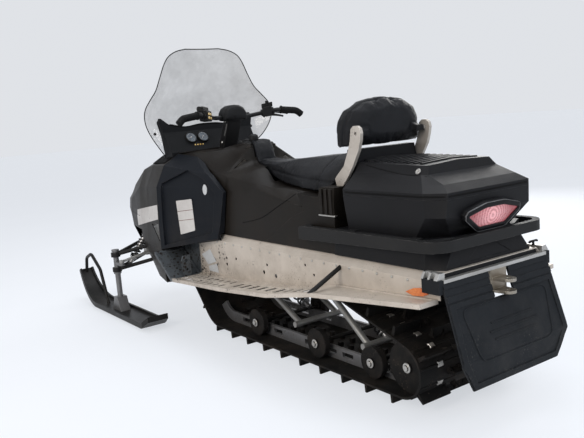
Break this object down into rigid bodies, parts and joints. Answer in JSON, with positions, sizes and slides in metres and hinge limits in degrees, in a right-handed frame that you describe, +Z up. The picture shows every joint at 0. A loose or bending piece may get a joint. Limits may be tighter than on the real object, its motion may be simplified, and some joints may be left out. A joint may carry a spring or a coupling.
{
  "type": "snowmobile",
  "caption": "Utility snowmobile with steered front skis, a wide drive track under a sheet tunnel, tall windshield, long seat with backrest and a lidded rear cargo box.",
  "frame": {"origin": "on the ground under the middle of the length and width", "axes": "+X forward to the ski tips, +Y to the rider's left, +Z up"},
  "size_m": [3.09, 1.044, 1.501],
  "materials": {
    "body_black": "moulded, slightly grained",
    "shield_plastic": "grained",
    "moulding_black": "grained",
    "dash_black": "grained",
    "aluminium_sheet": "folded sheet, dirty",
    "frame_alloy": "cast and bead blasted",
    "cast_silver": "cast and painted silver",
    "rail_alloy": "extruded",
    "spindle_alloy": "forged",
    "black_steel": "black powder coat",
    "arm_steel": "grey paint",
    "bar_steel": "black paint",
    "shock_steel": "grey coil",
    "axle_steel": "plain",
    "hitch_steel": "worn",
    "engine_iron": "plain mass",
    "track_rubber": "moulded",
    "flap_rubber": "moulded",
    "grip_rubber": "ribbed",
    "wheel_black": "rubber tyred",
    "ski_plastic": "waxy",
    "seat_vinyl": "black vinyl",
    "pad_foam": "soft cover",
    "control_black": "grained",
    "gauge_face": "clear lens over dial",
    "lamp_red": "red lens",
    "lamp_clear": "clear lens",
    "reflector_orange": "prismatic",
    "screen": "tinted clear plastic"
  },
  "bodies": {
    "chassis": {"tunnel": "aluminium_sheet", "footboard_left": "aluminium_sheet", "footboard_right": "aluminium_sheet", "board_struts": "black_steel", "track": "track_rubber", "rails": "rail_alloy", "idler_wheels": "wheel_black", "suspension_arms": "arm_steel", "rear_shocks": "shock_steel", "drive_axle": "axle_steel", "hood": "body_black", "bellypan": "body_black", "front_frame": "frame_alloy", "front_arms": "black_steel", "front_shocks": "shock_steel", "engine": "engine_iron", "side_panel_left": "shield_plastic", "side_panel_right": "shield_plastic", "console": "body_black", "seat_base": "body_black", "seat": "seat_vinyl", "backrest_support": "moulding_black", "backrest": "seat_vinyl", "backrest_arms": "cast_silver", "rear_base": "moulding_black", "cargo_box": "moulding_black", "lid_hinge": "black_steel", "tail_light": "lamp_red", "rear_rack": "black_steel", "end_frame": "frame_alloy", "snow_flap": "flap_rubber", "hitch": "hitch_steel", "side_reflectors": "reflector_orange", "windshield": "screen", "dash": "dash_black", "gauges": "gauge_face", "headlights": "lamp_clear", "front_bumper": "black_steel"},
    "steering": {"handlebar": "bar_steel", "grips": "grip_rubber", "bar_controls": "control_black", "bar_pad": "pad_foam"},
    "ski_left_set": {"spindle_left": "spindle_alloy", "ski_left": "ski_plastic"},
    "ski_right_set": {"spindle_right": "spindle_alloy", "ski_right": "ski_plastic"},
    "tie_left": {"tie_rod_left": "arm_steel"},
    "tie_right": {"tie_rod_right": "arm_steel"},
    "lid": {"cargo_lid": "moulding_black"}
  },
  "joints": [
    {"name": "steering_turn", "type": "hinge", "parent": "chassis", "child": "steering", "pos_m": [0.232, 0, 1.125], "axis": [-0.4242, 0, 0.9056], "range_deg": [-36, 36]},
    {"name": "lid_open", "type": "hinge", "parent": "chassis", "child": "lid", "pos_m": [-0.949, 0, 0.901], "axis": [0, 1, 0], "range_deg": [0, 55]},
    {"name": "ski_left_turn", "type": "hinge", "parent": "chassis", "child": "ski_left_set", "pos_m": [0.97, 0.45, 0.2], "axis": [0, 0, 1], "range_deg": [-29, 29]},
    {"name": "tie_left_slide", "type": "slide", "parent": "chassis", "child": "tie_left", "axis": [0, 1, 0], "range_m": [-0.043, 0.043]},
    {"name": "ski_right_turn", "type": "hinge", "parent": "chassis", "child": "ski_right_set", "pos_m": [0.97, -0.45, 0.2], "axis": [0, 0, 1], "range_deg": [-29, 29]},
    {"name": "tie_right_slide", "type": "slide", "parent": "chassis", "child": "tie_right", "axis": [0, 1, 0], "range_m": [-0.043, 0.043]}
  ],
  "couplings": [
    {"joint": "ski_left_turn", "follows": "steering_turn", "ratio": 0.8},
    {"joint": "tie_left_slide", "follows": "steering_turn", "m_per_rad": -0.068},
    {"joint": "ski_right_turn", "follows": "steering_turn", "ratio": 0.8},
    {"joint": "tie_right_slide", "follows": "steering_turn", "m_per_rad": -0.068}
  ]
}
